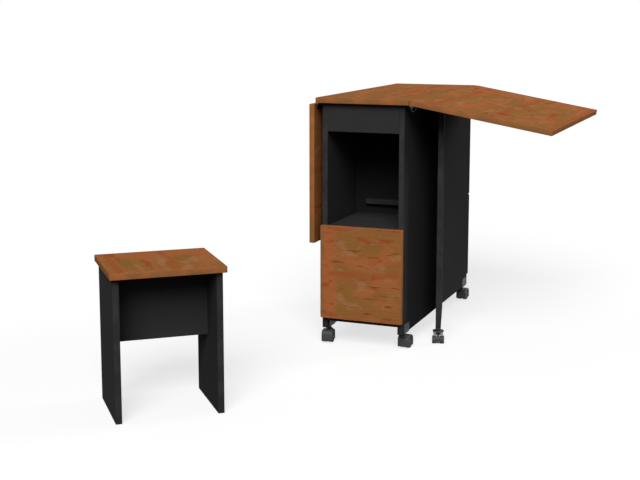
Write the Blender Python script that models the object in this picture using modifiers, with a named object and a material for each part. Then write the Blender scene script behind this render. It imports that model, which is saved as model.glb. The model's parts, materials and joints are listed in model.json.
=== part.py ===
"""Drop-leaf table on casters, with a swinging gate under the raised leaf, and a matching stool.

The cabinet's width runs along X, its length along Y, and the floor is z = 0.
Every board is modelled in its closed or level place, and the empties on the joint axes
turn the leaves, the gate and the casters to the way they stand.
"""
import math

import bmesh
import bpy
from mathutils import Matrix, Vector

# Boards and clearances
BOARD = 0.016
GAP = 0.0003
EDGE_EASE = 0.0008
EASE_SEGMENTS = 1

# Top: a fixed middle strip and two leaves
TABLE_HEIGHT = 0.750
TABLE_LENGTH = 0.770
STRIP_SIDE_OVERHANG = 0.0165
LEAF_REACH = 0.418
LEAF_JOINT_GAP = 0.0005
LEAF_DROOP = math.radians(10.0)
LEAF_HUNG = math.radians(90.0)

# Cabinet
CABINET_WIDTH = 0.255
SIDE_BOTTOM = 0.050
BOTTOM_BOARD_RISE = 0.023
CUPBOARD_HEIGHT = 0.261
RAIL_HEIGHT = 0.0842
NICHE_DEPTH = 0.258
BATTEN_ABOVE_SHELF = 0.033
BATTEN_END_GAP = 0.0364
BATTEN_DEPTH = 0.018

# Doors
BOTTOM_BOARD_REVEAL = 0.012
DOOR_ABOVE_SHELF = 0.002
DOOR_GAP = 0.0035
DOOR_TOP_CLEARANCE = 0.003

# Gates
GATE_FROM_TABLE_END = 0.121
GATE_OPEN = math.radians(15.0)
GATE_FACE_GAP = 0.0005
STOP_BLOCK_GATE_GAP = 0.0032
STOP_BLOCK_PANEL_GAP = 0.00275
STOP_BLOCK_LENGTH = 0.060
STOP_BLOCK_WIDTH = 0.024
STOP_BLOCK_SIDE_STEP = 0.004
STOP_BLOCK_FROM_END = 0.012

# Hinges
HINGE_SIDES = 12
PIN_RADIUS_SHARE = 0.42
BORE_CLEARANCE = 0.0003
LEAF_HINGE_LENGTH = 0.060
LEAF_HINGE_INSET = 0.018
LEAF_HINGE_WIDTH = 0.0135
LEAF_HINGE_PLATE = 0.0014
LEAF_HINGE_KNUCKLE = 0.0030
LEAF_HINGE_KNUCKLES = 5
GATE_HINGE_WIDTH = 0.0140
GATE_HINGE_PLATE = 0.0012
GATE_HINGE_KNUCKLE = 0.0020
GATE_HINGE_KNUCKLES = 7
GATE_HINGE_END_INSET = 0.010
DOOR_HINGE_WIDTH = 0.0140
DOOR_HINGE_PLATE = 0.0010
DOOR_HINGE_KNUCKLE = 0.0016
DOOR_HINGE_KNUCKLES = 5
DOOR_HINGE_END_INSET = 0.008

# Casters
CASTER_INSET = 0.054
GATE_CASTER_INSET = 0.024
TRAIL = 0.014
WHEEL_RADIUS = 0.0185
WHEEL_WIDTH = 0.012
WHEEL_SIDE_GAP = 0.001
WHEEL_EDGE = 0.0018
WHEEL_STEPS = 24
AXLE_RADIUS = 0.0025
HOOD_CLEARANCE = 0.0010
HOOD_WALL = 0.0015
HOOD_SIDE_LIP = 0.001
HOOD_SIDES = 24
HOOD_LIP_DROP = 0.004
FORK_WIDTH = 0.006
FORK_SPINE_ABOVE_AXLE = 0.0095
COLLAR_RADIUS = 0.006
COLLAR_HEIGHT = 0.0112
COLLAR_SIDES = 16
STEM_RADIUS = 0.004
STEM_HEIGHT = 0.020
STEM_SIDES = 12
BRACKET_PLATE = 0.0015
BRACKET_WIDTH = 0.048
BRACKET_OUTER_HEIGHT = 0.031
BRACKET_INNER_HEIGHT = 0.022
GATE_PLATE_WIDTH = 0.040
GATE_TRAIL = 0.008
GATE_WHEEL_RADIUS = 0.0125
GATE_WHEEL_WIDTH = 0.0135
GATE_WEB_INSET = 0.0025
GATE_CAP_RADIUS = 0.018
GATE_CAP_BOTTOM = 0.0352
GATE_CAP_HEIGHT = 0.0070
GATE_POST_ABOVE_WHEELS = 0.0015
CASTER_TURN_FRONT_LEFT = math.radians(188.0)
CASTER_TURN_FRONT_RIGHT = math.radians(-6.0)
CASTER_TURN_REAR_LEFT = math.radians(12.0)
CASTER_TURN_REAR_RIGHT = math.radians(-3.0)
CASTER_TURN_GATE_LEFT = math.radians(20.0)
CASTER_TURN_GATE_RIGHT = math.radians(181.0)

# Stool
SEAT_WIDTH = 0.290
SEAT_DEPTH = 0.250
STOOL_HEIGHT = 0.380
LEG_PANEL_SIDE_INSET = 0.008
LEG_PANEL_END_INSET = 0.0155
STRETCHER_HEIGHT = 0.1837
STOOL_PLACE = (-0.294, -0.679)
STOOL_TURN = math.radians(40.6)

# Cutters run past what they cut by this
OVERRUN = 0.004
MERGE = 0.00001

# Colours: wood laminate, black laminate, dark plastic, grey plastic and steel
WOOD = ("wood_laminate", (0.30, 0.125, 0.042, 1.0), 0.42, 0.0)
BLACK = ("black_laminate", (0.020, 0.020, 0.021, 1.0), 0.50, 0.0)
PLASTIC = ("caster_plastic", (0.060, 0.060, 0.062, 1.0), 0.50, 0.0)
TREAD = ("wheel_tread", (0.085, 0.085, 0.087, 1.0), 0.60, 0.0)
STEEL = ("hinge_steel", (0.55, 0.55, 0.56, 1.0), 0.34, 1.0)

HALF_CABINET = CABINET_WIDTH / 2
HALF_STRIP = HALF_CABINET + STRIP_SIDE_OVERHANG
HALF_INSIDE = HALF_CABINET - BOARD
TOP_UNDERSIDE = TABLE_HEIGHT - BOARD
CARCASS_TOP = TOP_UNDERSIDE - GAP
CARCASS_FRONT = BOARD + GAP
CARCASS_REAR = TABLE_LENGTH - CARCASS_FRONT
BOTTOM_BOARD_UNDERSIDE = SIDE_BOTTOM + BOTTOM_BOARD_RISE
SHELF_UNDERSIDE = BOTTOM_BOARD_UNDERSIDE + BOARD + CUPBOARD_HEIGHT
SHELF_TOP = SHELF_UNDERSIDE + BOARD
NICHE_TOP = CARCASS_TOP - RAIL_HEIGHT
NICHE_BACK = CARCASS_FRONT + NICHE_DEPTH
LEAF_AXIS_X = HALF_STRIP + LEAF_JOINT_GAP / 2
LEAF_AXIS_Z = TOP_UNDERSIDE - GAP - LEAF_HINGE_KNUCKLE
STOP_BLOCK_HEIGHT = LEAF_AXIS_X + LEAF_HINGE_KNUCKLE - HALF_CABINET - STOP_BLOCK_PANEL_GAP
GATE_AXIS_X = HALF_CABINET + GAP + GATE_HINGE_KNUCKLE
GATE_AXIS_ALONG = TABLE_LENGTH / 2
GATE_LENGTH = GATE_AXIS_ALONG - GATE_FROM_TABLE_END
GATE_TOP = TOP_UNDERSIDE - GAP - STOP_BLOCK_HEIGHT - STOP_BLOCK_GATE_GAP
DOOR_AXIS_X = HALF_CABINET + GAP + DOOR_HINGE_KNUCKLE
AXLE_HEIGHT = WHEEL_RADIUS * math.cos(math.pi / WHEEL_STEPS)
GATE_AXLE_HEIGHT = GATE_WHEEL_RADIUS * math.cos(math.pi / WHEEL_STEPS)
HALF_WHEEL_SPACING = FORK_WIDTH / 2 + WHEEL_SIDE_GAP
HOOD_RADIUS = WHEEL_RADIUS + HOOD_CLEARANCE + HOOD_WALL
HOOD_WIDTH = 2 * (HALF_WHEEL_SPACING + WHEEL_WIDTH + HOOD_SIDE_LIP)
BRACKET_BOTTOM = SIDE_BOTTOM - GAP - BRACKET_PLATE
CASTER_TOP = BRACKET_BOTTOM - GAP


def material(look):
    """The Principled material of a look, made once."""
    name, colour, roughness, metallic = look
    found = bpy.data.materials.get(name)
    if found:
        return found
    made = bpy.data.materials.new(name)
    made.use_nodes = True
    shader = made.node_tree.nodes["Principled BSDF"]
    shader.inputs["Base Color"].default_value = colour
    shader.inputs["Roughness"].default_value = roughness
    shader.inputs["Metallic"].default_value = metallic
    made.diffuse_color = colour
    return made


def collection(name):
    """A new collection under the scene."""
    made = bpy.data.collections.new(name)
    bpy.context.scene.collection.children.link(made)
    return made


def mesh_object(name, mesh, group, parent=None, place=(0, 0, 0), turn=(0, 0, 0)):
    """An object on a mesh, put in a collection and under its parent."""
    made = bpy.data.objects.new(name, mesh)
    group.objects.link(made)
    made.parent = parent
    made.location = place
    made.rotation_euler = turn
    return made


def block_mesh(name, size):
    """A box of the given size round its own centre."""
    shape = bmesh.new()
    bmesh.ops.create_cube(shape, size=1, matrix=Matrix.Diagonal((*size, 1)))
    mesh = bpy.data.meshes.new(name)
    shape.to_mesh(mesh)
    shape.free()
    return mesh


def rod_mesh(name, radius, length, sides, along_x=False):
    """A cylinder round its own centre, along Z or X, with flats square to the cross axes."""
    shape = bmesh.new()
    bmesh.ops.create_cone(shape, cap_ends=True, segments=sides, radius1=radius, radius2=radius, depth=length)
    stand = Matrix.Rotation(math.pi / 2 if along_x else 0, 4, "Y")
    half_side = Matrix.Rotation(math.pi / sides, 4, "Z")
    bmesh.ops.transform(shape, matrix=stand @ half_side, verts=shape.verts)
    mesh = bpy.data.meshes.new(name)
    shape.to_mesh(mesh)
    shape.free()
    return mesh


def board(name, low, high, look, parent):
    """A board between two corners, with its edges eased."""
    size = [b - a for a, b in zip(low, high)]
    centre = [(a + b) / 2 for a, b in zip(low, high)]
    made = mesh_object(name, block_mesh(name, size), parts, parent, centre)
    made.data.materials.append(material(look))
    ease = made.modifiers.new("ease", "BEVEL")
    ease.width = EDGE_EASE
    ease.segments = EASE_SEGMENTS
    return made


def guide(mesh, place=(0, 0, 0), parent=None):
    """A hidden helper that a Boolean reads."""
    made = mesh_object("guide", mesh, cutters, parent, place)
    made.hide_render = True
    made.display_type = "WIRE"
    return made


def boolean(target, helper, operation):
    """Gives the target an exact Boolean with a helper."""
    step = target.modifiers.new(operation.lower(), "BOOLEAN")
    step.operation = operation
    step.solver = "EXACT"
    step.object = helper


def baked(target):
    """The target's evaluated mesh, with the target and its helpers taken away."""
    bpy.context.view_layer.update()
    mesh = bpy.data.meshes.new_from_object(target.evaluated_get(bpy.context.evaluated_depsgraph_get()))
    helpers = [m.object for m in target.modifiers if m.type == "BOOLEAN"]
    for used in [target] + helpers:
        bpy.data.objects.remove(used)
    return mesh


def pivot(name, place, turn=(0, 0, 0), parent=None):
    """An empty on a joint's axis."""
    made = bpy.data.objects.new(name, None)
    parts.objects.link(made)
    made.parent = parent
    made.location = place
    made.rotation_euler = turn
    return made


def hinge_mesh(name, length, knuckles, width, plate, radius, carries_pin):
    """Half a hinge along Z: the axis at the origin, the plate towards +X, the wood beyond it on +Y.

    The half that carries the pin has the knuckles at both ends. The other half's are bored.
    """
    pitch = length / knuckles
    clear = radius + GAP
    depth = radius - plate / 2
    body = mesh_object(name, block_mesh(name, (width - clear, plate, length)), parts)
    body.data.transform(Matrix.Translation(((width + clear) / 2, depth, 0)))
    web_size = (clear + plate, plate, pitch - GAP)
    for index in range(knuckles):
        if (index % 2 == 0) != carries_pin:
            continue
        height = (index + 1 / 2) * pitch - length / 2
        boolean(body, guide(block_mesh("web", web_size), (web_size[0] / 2, depth, height)), "UNION")
        boolean(body, guide(rod_mesh("knuckle", radius, pitch - GAP, HINGE_SIDES), (0, 0, height)), "UNION")
    pin_radius = radius * PIN_RADIUS_SHARE
    if carries_pin:
        boolean(body, guide(rod_mesh("pin", pin_radius, length - 2 * GAP, HINGE_SIDES)), "UNION")
    else:
        bore = rod_mesh("bore", pin_radius + BORE_CLEARANCE, length + OVERRUN, HINGE_SIDES)
        boolean(body, guide(bore), "DIFFERENCE")
    mesh = baked(body)
    mesh.name = name
    mesh.materials.append(material(STEEL))
    return mesh


def hinge_turn(plate, wood):
    """The turn that points a hinge half's plate and its wood face in two square directions."""
    plate, wood = Vector(plate), Vector(wood)
    return Matrix((plate, wood, plate.cross(wood))).transposed().to_euler()


def bore_stem(owner, along, bottom):
    """A blind hole for a caster's stem in a board's lower edge, in the board's own frame."""
    depth = STEM_HEIGHT + GAP
    drill = rod_mesh("drill", STEM_RADIUS + GAP, depth + OVERRUN, STEM_SIDES)
    boolean(owner, guide(drill, (0, along, bottom + (depth - OVERRUN) / 2), owner), "DIFFERENCE")


def add_cabinet(root):
    """The fixed boards: sides, bottom, shelf, niche back, rails, batten and the middle strip."""
    inside = HALF_INSIDE - GAP
    front, rear = CARCASS_FRONT, CARCASS_REAR
    for name, sign in (("side_panel_left", -1), ("side_panel_right", 1)):
        low_x, high_x = sorted((sign * HALF_INSIDE, sign * HALF_CABINET))
        side = board(name, (low_x, front, SIDE_BOTTOM), (high_x, rear, CARCASS_TOP), BLACK, root)
        for along in (CASTER_INSET, TABLE_LENGTH - CASTER_INSET):
            bore_stem(side, along - TABLE_LENGTH / 2, (SIDE_BOTTOM - CARCASS_TOP) / 2)
    board("bottom_board", (-inside, front, BOTTOM_BOARD_UNDERSIDE),
          (inside, rear, BOTTOM_BOARD_UNDERSIDE + BOARD), BLACK, root)
    board("middle_shelf", (-inside, front, SHELF_UNDERSIDE), (inside, rear, SHELF_TOP), BLACK, root)
    board("niche_back", (-inside, NICHE_BACK, SHELF_TOP + GAP),
          (inside, NICHE_BACK + BOARD, CARCASS_TOP), BLACK, root)
    board("top_rail_front", (-inside, front, NICHE_TOP), (inside, front + BOARD, CARCASS_TOP), BLACK, root)
    board("top_rail_rear", (-inside, rear - BOARD, NICHE_TOP), (inside, rear, CARCASS_TOP), BLACK, root)
    batten_bottom = SHELF_TOP + BATTEN_ABOVE_SHELF
    board("niche_batten", (BATTEN_END_GAP - inside, NICHE_BACK - GAP - BATTEN_DEPTH, batten_bottom),
          (inside, NICHE_BACK - GAP, batten_bottom + BOARD), BLACK, root)
    board("top_strip", (-HALF_STRIP, 0, TOP_UNDERSIDE), (HALF_STRIP, TABLE_LENGTH, TABLE_HEIGHT), WOOD, root)


def add_door(root, name, bottom, top, side):
    """An overlay door on a continuous hinge at the cabinet's left. side is -1 in front, 1 behind."""
    face = CARCASS_FRONT if side < 0 else CARCASS_REAR
    centre = (-DOOR_AXIS_X, face, (bottom + top) / 2)
    axis = pivot(name + "_pivot", centre, parent=root)
    reach = DOOR_HINGE_KNUCKLE + GAP
    half = (top - bottom) / 2
    low_y, high_y = sorted((side * GAP, side * (GAP + BOARD)))
    board(name, (reach, low_y, -half), (reach + CABINET_WIDTH, high_y, half), WOOD, axis)
    sizes = (2 * (half - DOOR_HINGE_END_INSET), DOOR_HINGE_KNUCKLES, DOOR_HINGE_WIDTH,
             DOOR_HINGE_PLATE, DOOR_HINGE_KNUCKLE)
    fixed, swung = name + "_hinge_fixed", name + "_hinge_swung"
    mesh_object(fixed, hinge_mesh(fixed, *sizes, True), parts, root, centre,
                hinge_turn((0, -side, 0), (1, 0, 0)))
    mesh_object(swung, hinge_mesh(swung, *sizes, False), parts, axis, (0, 0, 0),
                hinge_turn((0, side, 0), (1, 0, 0)))


def add_gate(root, name, side, opened):
    """A gate board on a continuous hinge at the cabinet's middle. side is 1 right, -1 left."""
    facing = 0 if side > 0 else math.pi
    axis = pivot(name + "_pivot", (side * GATE_AXIS_X, GATE_AXIS_ALONG, 0), (0, 0, facing + opened), root)
    reach = GATE_HINGE_KNUCKLE + GAP
    inner = GATE_FACE_GAP - reach
    gate = board(name, (inner, -reach - GATE_LENGTH, SIDE_BOTTOM), (inner + BOARD, -reach, GATE_TOP),
                 BLACK, axis)
    bore_stem(gate, GATE_CASTER_INSET - GATE_LENGTH / 2, (SIDE_BOTTOM - GATE_TOP) / 2)
    middle = (SIDE_BOTTOM + GATE_TOP) / 2
    sizes = (GATE_TOP - SIDE_BOTTOM - 2 * GATE_HINGE_END_INSET, GATE_HINGE_KNUCKLES, GATE_HINGE_WIDTH,
             GATE_HINGE_PLATE, GATE_HINGE_KNUCKLE)
    fixed, swung = name + "_hinge_fixed", name + "_hinge_swung"
    mesh_object(fixed, hinge_mesh(fixed, *sizes, True), parts, root,
                (side * GATE_AXIS_X, GATE_AXIS_ALONG, middle), hinge_turn((0, side, 0), (-side, 0, 0)))
    mesh_object(swung, hinge_mesh(swung, *sizes, False), parts, axis, (0, 0, middle),
                hinge_turn((1, 0, 0), (0, -1, 0)))
    return axis


def add_leaf(root, name, side, droop, hinges):
    """A leaf with its hinges and the block that its gate comes under. side is 1 right, -1 left."""
    facing = 0 if side > 0 else math.pi
    axis_place = (side * LEAF_AXIS_X, TABLE_LENGTH / 2, LEAF_AXIS_Z)
    axis = pivot(name + "_pivot", axis_place, (0, droop, facing), root)
    under = LEAF_HINGE_KNUCKLE + GAP
    inner = LEAF_JOINT_GAP / 2
    board(name, (inner, -TABLE_LENGTH / 2, under), (inner + LEAF_REACH, TABLE_LENGTH / 2, under + BOARD),
          WOOD, axis)
    gate_end = GATE_AXIS_X + GATE_HINGE_KNUCKLE + GAP + GATE_LENGTH - LEAF_AXIS_X
    block_end = gate_end - STOP_BLOCK_FROM_END
    board(name + "_stop_block",
          (block_end - STOP_BLOCK_LENGTH, STOP_BLOCK_SIDE_STEP, under - GAP - STOP_BLOCK_HEIGHT),
          (block_end, STOP_BLOCK_SIDE_STEP + STOP_BLOCK_WIDTH, under - GAP), BLACK, axis)
    for label, along in (("front", LEAF_HINGE_INSET + LEAF_HINGE_LENGTH / 2),
                         ("rear", TABLE_LENGTH - LEAF_HINGE_INSET - LEAF_HINGE_LENGTH / 2)):
        offset = along - TABLE_LENGTH / 2
        mesh_object(f"{name}_hinge_{label}_fixed", hinges[0], parts, root,
                    (axis_place[0], along, LEAF_AXIS_Z), hinge_turn((-side, 0, 0), (0, 0, 1)))
        mesh_object(f"{name}_hinge_{label}_swung", hinges[1], parts, axis, (0, side * offset, 0),
                    hinge_turn((1, 0, 0), (0, 0, 1)))


def bracket_mesh():
    """A folded plate round a side panel's lower edge, its taller flange on +X, over the stem's hole."""
    half_slot = BOARD / 2 + GAP
    half_out = half_slot + BRACKET_PLATE
    top = BRACKET_BOTTOM + BRACKET_OUTER_HEIGHT
    inner_top = BRACKET_BOTTOM + BRACKET_INNER_HEIGHT
    size = (2 * half_out, BRACKET_WIDTH, BRACKET_OUTER_HEIGHT)
    body = mesh_object("bracket", block_mesh("bracket", size), parts)
    body.data.transform(Matrix.Translation((0, 0, (BRACKET_BOTTOM + top) / 2)))
    slot_floor = BRACKET_BOTTOM + BRACKET_PLATE
    slot = block_mesh("slot", (2 * half_slot, BRACKET_WIDTH + OVERRUN, top - slot_floor + OVERRUN))
    boolean(body, guide(slot, (0, 0, (slot_floor + top + OVERRUN) / 2)), "DIFFERENCE")
    notch_size = (2 * BRACKET_PLATE + OVERRUN, BRACKET_WIDTH + OVERRUN, top - inner_top + OVERRUN)
    notch_place = (-half_out, 0, (inner_top + top + OVERRUN) / 2)
    boolean(body, guide(block_mesh("notch", notch_size), notch_place), "DIFFERENCE")
    drill = rod_mesh("hole", STEM_RADIUS + GAP, BRACKET_PLATE + OVERRUN, STEM_SIDES)
    boolean(body, guide(drill, (0, 0, BRACKET_BOTTOM + BRACKET_PLATE / 2)), "DIFFERENCE")
    mesh = baked(body)
    mesh.materials.append(material(STEEL))
    return mesh


def gate_plate_mesh():
    """The flat plate under a gate's lower edge, with the hole for the caster's stem."""
    body = mesh_object("plate", block_mesh("plate", (BOARD, GATE_PLATE_WIDTH, BRACKET_PLATE)), parts)
    middle = BRACKET_BOTTOM + BRACKET_PLATE / 2
    body.data.transform(Matrix.Translation((0, 0, middle)))
    drill = rod_mesh("hole", STEM_RADIUS + GAP, BRACKET_PLATE + OVERRUN, STEM_SIDES)
    boolean(body, guide(drill, (0, 0, middle)), "DIFFERENCE")
    mesh = baked(body)
    mesh.materials.append(material(STEEL))
    return mesh


def fork_mesh():
    """A caster's hood over both wheels, the web between them, the collar and the stem."""
    axle = (0, TRAIL, AXLE_HEIGHT)
    body = mesh_object("fork", rod_mesh("fork", HOOD_RADIUS, HOOD_WIDTH, HOOD_SIDES, True), parts)
    body.data.transform(Matrix.Translation(axle))
    inside = rod_mesh("inside", HOOD_RADIUS - HOOD_WALL, HOOD_WIDTH + OVERRUN, HOOD_SIDES, True)
    boolean(body, guide(inside, axle), "DIFFERENCE")
    web = rod_mesh("web", HOOD_RADIUS - HOOD_WALL / 2, FORK_WIDTH, HOOD_SIDES, True)
    boolean(body, guide(web, axle), "UNION")
    below = block_mesh("below", (HOOD_WIDTH + OVERRUN, 2 * HOOD_RADIUS + OVERRUN, HOOD_RADIUS))
    boolean(body, guide(below, (0, TRAIL, AXLE_HEIGHT - HOOD_LIP_DROP - HOOD_RADIUS / 2)), "DIFFERENCE")
    rods = ((COLLAR_RADIUS, CASTER_TOP - COLLAR_HEIGHT, CASTER_TOP, COLLAR_SIDES),
            (FORK_WIDTH / 2, AXLE_HEIGHT + FORK_SPINE_ABOVE_AXLE, CASTER_TOP - GAP, STEM_SIDES))
    return stemmed(body, axle, rods)


def gate_fork_mesh():
    """A low caster's flat cap over a post, and the web between its wheels."""
    axle = (0, GATE_TRAIL, GATE_AXLE_HEIGHT)
    web = rod_mesh("fork", GATE_WHEEL_RADIUS - GATE_WEB_INSET, FORK_WIDTH, HOOD_SIDES, True)
    body = mesh_object("fork", web, parts)
    body.data.transform(Matrix.Translation(axle))
    cap_top = GATE_CAP_BOTTOM + GATE_CAP_HEIGHT
    post_bottom = 2 * GATE_WHEEL_RADIUS + GATE_POST_ABOVE_WHEELS
    rods = ((FORK_WIDTH / 2, GATE_AXLE_HEIGHT, GATE_CAP_BOTTOM + GAP, STEM_SIDES),
            (COLLAR_RADIUS, post_bottom, CASTER_TOP, COLLAR_SIDES),
            (GATE_CAP_RADIUS, GATE_CAP_BOTTOM, cap_top, HOOD_SIDES))
    return stemmed(body, axle, rods)


def stemmed(body, axle, rods):
    """A fork's mesh with upright rods added on the stem's axis, the stem itself and the axle's bore.

    Each rod is a radius, the heights of its ends and its sides.
    """
    stem = (STEM_RADIUS, CASTER_TOP - COLLAR_HEIGHT / 2, SIDE_BOTTOM + STEM_HEIGHT, STEM_SIDES)
    for radius, low, high, sides in (*rods, stem):
        rod = rod_mesh("rod", radius, high - low, sides)
        boolean(body, guide(rod, (0, 0, (low + high) / 2)), "UNION")
    bore = rod_mesh("bore", AXLE_RADIUS + BORE_CLEARANCE, FORK_WIDTH + OVERRUN, HINGE_SIDES, True)
    boolean(body, guide(bore, axle), "DIFFERENCE")
    mesh = baked(body)
    mesh.materials.append(material(PLASTIC))
    return mesh


def wheels_mesh(rim, width):
    """A caster's two wheels on their axle, turned about X, standing on a flat between two steps."""
    inner = HALF_WHEEL_SPACING
    outer = inner + width
    shoulder = rim - WHEEL_EDGE
    half = [(0, outer), (shoulder, outer), (rim, outer - WHEEL_EDGE), (rim, inner + WHEEL_EDGE),
            (shoulder, inner), (AXLE_RADIUS, inner)]
    profile = half + [(radius, -along) for radius, along in reversed(half)]
    mesh = bpy.data.meshes.new("wheels")
    mesh.from_pydata([(radius, 0, along) for radius, along in profile],
                     [(i, i + 1) for i in range(len(profile) - 1)], [])
    body = mesh_object("wheels", mesh, parts)
    spin = body.modifiers.new("turn", "SCREW")
    spin.steps = WHEEL_STEPS
    spin.render_steps = WHEEL_STEPS
    spin.use_merge_vertices = True
    spin.merge_threshold = MERGE
    turned = baked(body)
    half_step = Matrix.Rotation(math.pi / WHEEL_STEPS, 4, "Z")
    turned.transform(Matrix.Rotation(math.pi / 2, 4, "Y") @ half_step)
    turned.shade_smooth()
    turned.set_sharp_from_angle(angle=math.radians(30))
    turned.materials.append(material(TREAD))
    return turned


def add_caster(name, owner, place, facing, turn, mount, fork, wheels, axle):
    """A mount plate on its board, then a fork that swivels on its stem, then the wheels on the axle."""
    mesh_object(name + "_mount", mount, parts, owner, place, (0, 0, facing))
    swivel = pivot(name + "_swivel", place, (0, 0, turn), owner)
    mesh_object(name + "_fork", fork, parts, swivel)
    mesh_object(name + "_wheels", wheels, parts, swivel, axle)


def add_casters(root, gates):
    """A caster under each end of both side panels and one under each gate's free end."""
    hooded = (bracket_mesh(), fork_mesh(), wheels_mesh(WHEEL_RADIUS, WHEEL_WIDTH), (0, TRAIL, AXLE_HEIGHT))
    low = (gate_plate_mesh(), gate_fork_mesh(), wheels_mesh(GATE_WHEEL_RADIUS, GATE_WHEEL_WIDTH),
           (0, GATE_TRAIL, GATE_AXLE_HEIGHT))
    across = HALF_CABINET - BOARD / 2
    far = TABLE_LENGTH - CASTER_INSET
    for name, x, y, turn in (("caster_front_left", -across, CASTER_INSET, CASTER_TURN_FRONT_LEFT),
                             ("caster_front_right", across, CASTER_INSET, CASTER_TURN_FRONT_RIGHT),
                             ("caster_rear_left", -across, far, CASTER_TURN_REAR_LEFT),
                             ("caster_rear_right", across, far, CASTER_TURN_REAR_RIGHT)):
        add_caster(name, root, (x, y, 0), 0 if x > 0 else math.pi, turn, *hooded)
    reach = GATE_HINGE_KNUCKLE + GAP
    foot = (GATE_FACE_GAP - reach + BOARD / 2, GATE_CASTER_INSET - reach - GATE_LENGTH, 0)
    for name, turn in (("gate_left", CASTER_TURN_GATE_LEFT), ("gate_right", CASTER_TURN_GATE_RIGHT)):
        add_caster("caster_" + name, gates[name], foot, 0, turn, *low)


def add_stool(root):
    """A seat board on two side panels, with a deep stretcher panel between them."""
    stand = pivot("stool_root", (*STOOL_PLACE, 0), (0, 0, STOOL_TURN), root)
    under_seat = STOOL_HEIGHT - BOARD
    board("stool_seat", (-SEAT_WIDTH / 2, -SEAT_DEPTH / 2, under_seat),
          (SEAT_WIDTH / 2, SEAT_DEPTH / 2, STOOL_HEIGHT), WOOD, stand)
    half_spread = SEAT_WIDTH / 2 - LEG_PANEL_SIDE_INSET
    half_depth = SEAT_DEPTH / 2 - LEG_PANEL_END_INSET
    for name, sign in (("stool_panel_left", -1), ("stool_panel_right", 1)):
        low_x, high_x = sorted((sign * half_spread, sign * (half_spread - BOARD)))
        board(name, (low_x, -half_depth, 0), (high_x, half_depth, under_seat - GAP), BLACK, stand)
    inside = half_spread - BOARD - GAP
    board("stool_stretcher", (-inside, -BOARD / 2, under_seat - GAP - STRETCHER_HEIGHT),
          (inside, BOARD / 2, under_seat - GAP), BLACK, stand)


def centre_on_floor(root):
    """Moves the root so that the whole object's box stands centred on the origin."""
    bpy.context.view_layer.update()
    depsgraph = bpy.context.evaluated_depsgraph_get()
    corners = []
    for item in parts.objects:
        if item.type == "MESH":
            seen = item.evaluated_get(depsgraph)
            corners += [seen.matrix_world @ vertex.co for vertex in seen.data.vertices]
    for axis in (0, 1):
        values = [corner[axis] for corner in corners]
        root.location[axis] -= (min(values) + max(values)) / 2
    bpy.context.view_layer.update()


for old in list(bpy.data.objects):
    bpy.data.objects.remove(old)
parts = collection("folding_table_with_stools")
cutters = collection("cutters")
table = pivot("table_root", (0, 0, 0))
add_cabinet(table)
lower_door = (BOTTOM_BOARD_UNDERSIDE + BOTTOM_BOARD_REVEAL, SHELF_TOP + DOOR_ABOVE_SHELF)
upper_door = (lower_door[1] + DOOR_GAP, TOP_UNDERSIDE - DOOR_TOP_CLEARANCE)
add_door(table, "front_door", *lower_door, -1)
add_door(table, "rear_lower_door", *lower_door, 1)
add_door(table, "rear_upper_door", *upper_door, 1)
leaf_hinge = (LEAF_HINGE_LENGTH, LEAF_HINGE_KNUCKLES, LEAF_HINGE_WIDTH, LEAF_HINGE_PLATE,
              LEAF_HINGE_KNUCKLE)
leaf_hinges = (hinge_mesh("leaf_hinge_fixed", *leaf_hinge, True),
               hinge_mesh("leaf_hinge_swung", *leaf_hinge, False))
add_leaf(table, "leaf_left", -1, LEAF_HUNG, leaf_hinges)
add_leaf(table, "leaf_right", 1, LEAF_DROOP, leaf_hinges)
gate_axes = {"gate_left": add_gate(table, "gate_left", -1, 0),
             "gate_right": add_gate(table, "gate_right", 1, GATE_OPEN)}
add_casters(table, gate_axes)
add_stool(table)
centre_on_floor(table)
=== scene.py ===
"""Looks for a drop-leaf table on casters and its stool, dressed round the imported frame.

Lengths are metres, the floor is z = 0 and the table's front faces -Y.
"""
import json
import math

import bmesh
import bpy
import numpy as np
from mathutils import Matrix, Vector

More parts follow.
